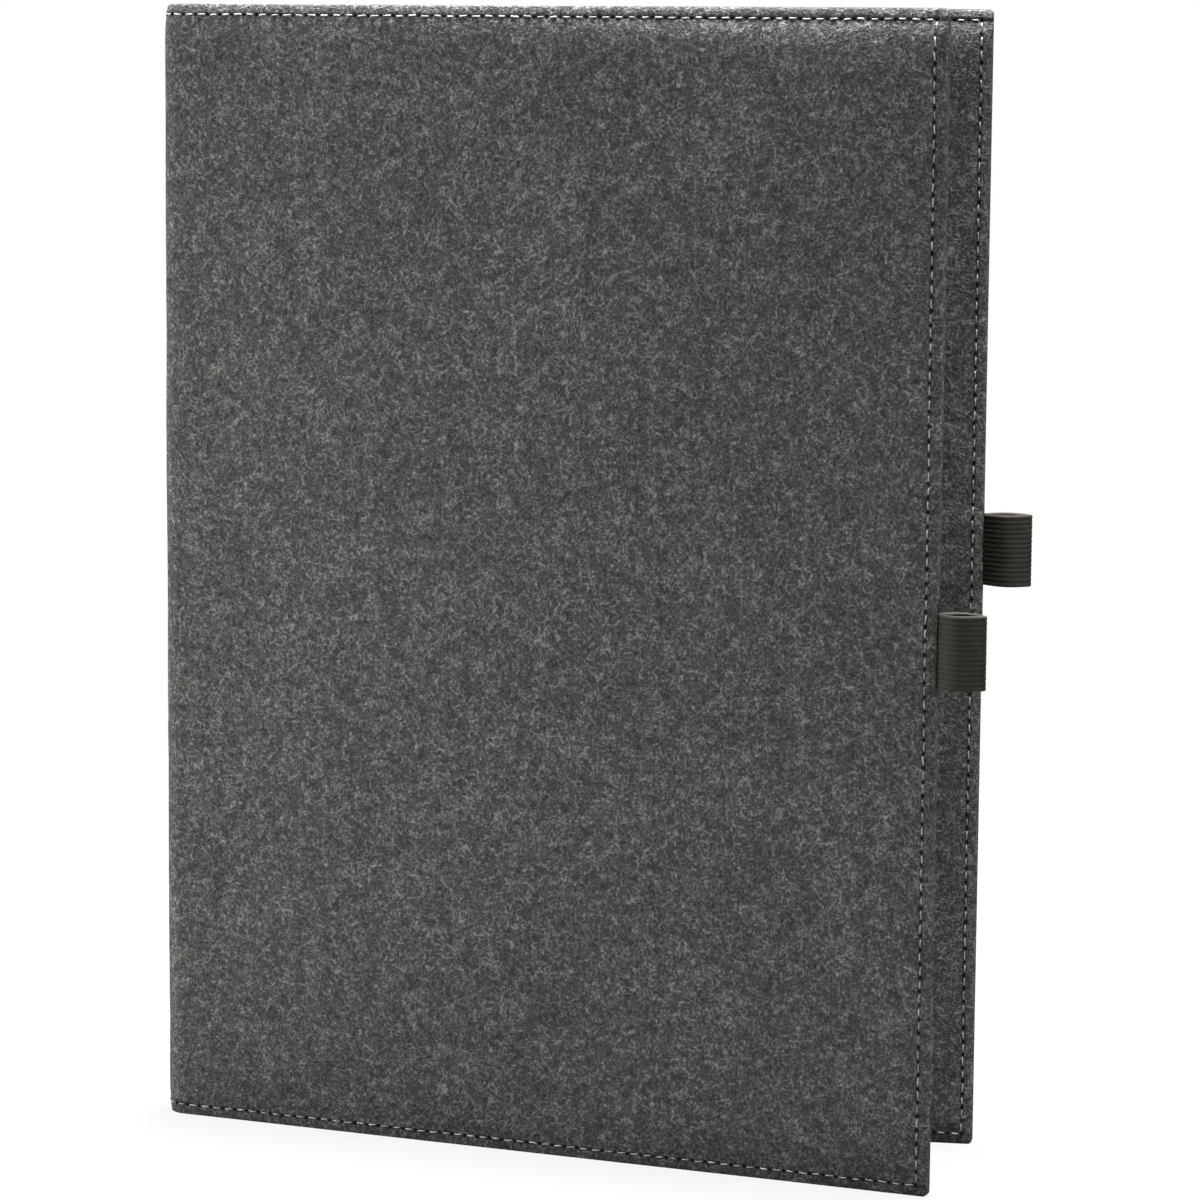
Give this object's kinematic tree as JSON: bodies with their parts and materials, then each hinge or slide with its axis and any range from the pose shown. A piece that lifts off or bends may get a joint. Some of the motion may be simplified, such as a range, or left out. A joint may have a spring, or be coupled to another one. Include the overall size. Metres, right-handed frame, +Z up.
{
  "type": "felt document folder",
  "caption": "Standing felt folder for loose sheets, with two hinged covers, a rounded spine, sewn inner pockets and an elastic pen loop on each fore edge.",
  "frame": {"origin": "middle of the folder's outline at the height of the surface it stands on", "axes": "+Z up along the spine, +X from the spine to the fore edges, front cover at -Y"},
  "size_m": [0.2454, 0.071, 0.32],
  "materials": {
    "felt": "dark grey needled felt, matt",
    "pocket_felt": "dark grey needled felt, matt",
    "elastic": "ribbed woven elastic, near black",
    "thread": "light grey sewing thread"
  },
  "bodies": {
    "spine": {"spine_outer_felt": "felt", "spine_top_thread": "thread", "spine_bottom_thread": "thread"},
    "front_cover": {"front_outer_felt": "felt", "front_pocket_felt": "pocket_felt", "front_pen_loop": "elastic", "front_needle_thread": "thread", "front_bobbin_thread": "thread"},
    "back_cover": {"back_outer_felt": "felt", "back_pocket_felt": "pocket_felt", "back_pen_loop": "elastic", "back_needle_thread": "thread", "back_bobbin_thread": "thread"}
  },
  "joints": [
    {"name": "front_fold", "type": "hinge", "parent": "spine", "child": "front_cover", "pos_m": [-0.12094, -0.00466, 0], "axis": [0, 0, -1], "range_deg": [-6.5, 83.5]},
    {"name": "back_fold", "type": "hinge", "parent": "spine", "child": "back_cover", "pos_m": [-0.12094, 0.00466, 0], "axis": [0, 0, 1], "range_deg": [-6.5, 83.5]}
  ]
}
